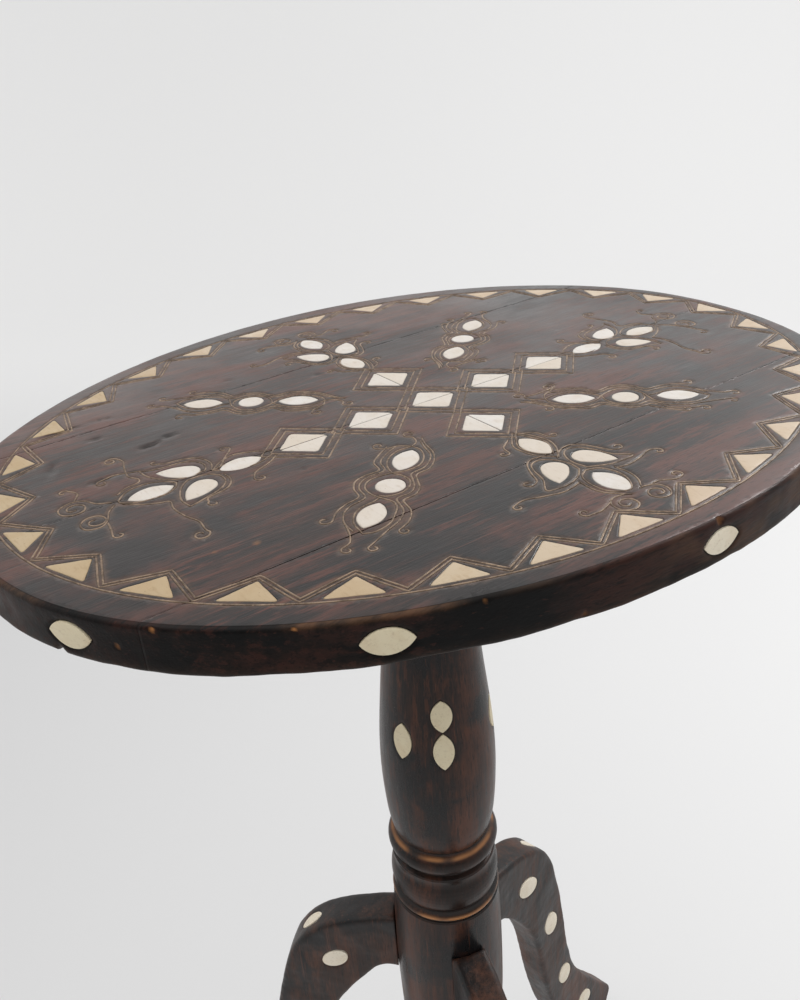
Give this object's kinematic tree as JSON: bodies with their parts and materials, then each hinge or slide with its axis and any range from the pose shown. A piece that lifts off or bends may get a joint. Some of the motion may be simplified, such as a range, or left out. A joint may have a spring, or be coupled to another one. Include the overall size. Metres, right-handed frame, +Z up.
{
  "type": "oval tripod side table",
  "caption": "Small oval side table on a turned column with three bracket legs, its dark wood inlaid with bone pieces and fine wire lines.",
  "frame": {"origin": "middle of the footprint of the whole table, on the floor", "axes": "+Z up; +X along the oval top's long axis, towards the leg named right; +Y along its short axis, away from the leg named front"},
  "size_m": [0.3962, 0.3619, 0.66],
  "materials": {
    "top_wood": "satin, waxed, worn",
    "column_wood": "satin",
    "leg_wood": "satin, worn",
    "bearer_wood": "matt, unfinished",
    "ivory_bone": "satin bone",
    "cream_bone": "satin bone",
    "wire": "dull, oxidised",
    "screw_steel": "dull"
  },
  "bodies": {
    "root": {"top_board_front": "top_wood", "top_board_middle_front": "top_wood", "top_board_middle_back": "top_wood", "top_board_back": "top_wood", "top_bearer": "bearer_wood", "board_dowels": "bearer_wood", "tenon_wedge": "bearer_wood", "column": "column_wood", "leg_right": "leg_wood", "leg_left": "leg_wood", "leg_front": "leg_wood", "bone_diamonds_long": "ivory_bone", "bone_diamonds_cross": "ivory_bone", "bone_flower_right": "ivory_bone", "bone_flower_back": "ivory_bone", "bone_flower_left": "ivory_bone", "bone_flower_front": "ivory_bone", "bone_spray_front_left": "ivory_bone", "bone_spray_back_left": "ivory_bone", "bone_spray_front_right": "ivory_bone", "bone_spray_back_right": "ivory_bone", "bone_border_triangles": "cream_bone", "bone_rim_leaves": "cream_bone", "bone_column_leaves": "cream_bone", "bone_leg_ovals_right": "cream_bone", "bone_leg_ovals_left": "cream_bone", "bone_leg_ovals_front": "cream_bone", "wire_diamond_frames": "wire", "wire_flower_outlines": "wire", "wire_spray_outlines": "wire", "wire_border_zigzag": "wire", "wire_border_ring": "wire", "bearer_screws": "screw_steel"}
  },
  "joints": []
}
